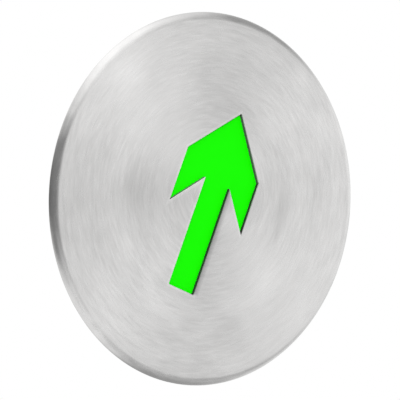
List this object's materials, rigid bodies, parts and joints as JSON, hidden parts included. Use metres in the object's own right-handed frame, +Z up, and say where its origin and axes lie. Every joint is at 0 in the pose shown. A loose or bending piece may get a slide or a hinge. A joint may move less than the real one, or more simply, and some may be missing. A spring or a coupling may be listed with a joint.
{
  "type": "emergency exit sign",
  "caption": "Round satin stainless steel sign plate with a rounded rim and a recessed green direction arrow, stuck to a wall by a foam tape disc to mark an escape route.",
  "frame": {"origin": "middle of the foam tape disc's wall face, on the plate's own axis", "axes": "+Y into the wall, so the front of the plate faces -Y; +Z up, the way the arrow points; +X to the right seen from the front"},
  "size_m": [0.1, 0.0025, 0.1],
  "materials": {
    "satin_steel": "circular satin brushing",
    "green_enamel": "smooth even enamel fill",
    "foam_tape": "closed-cell foam, double-sided adhesive"
  },
  "bodies": {
    "root": {"sign_plate": "satin_steel", "arrow_fill": "green_enamel", "tape_disc": "foam_tape"}
  },
  "joints": []
}
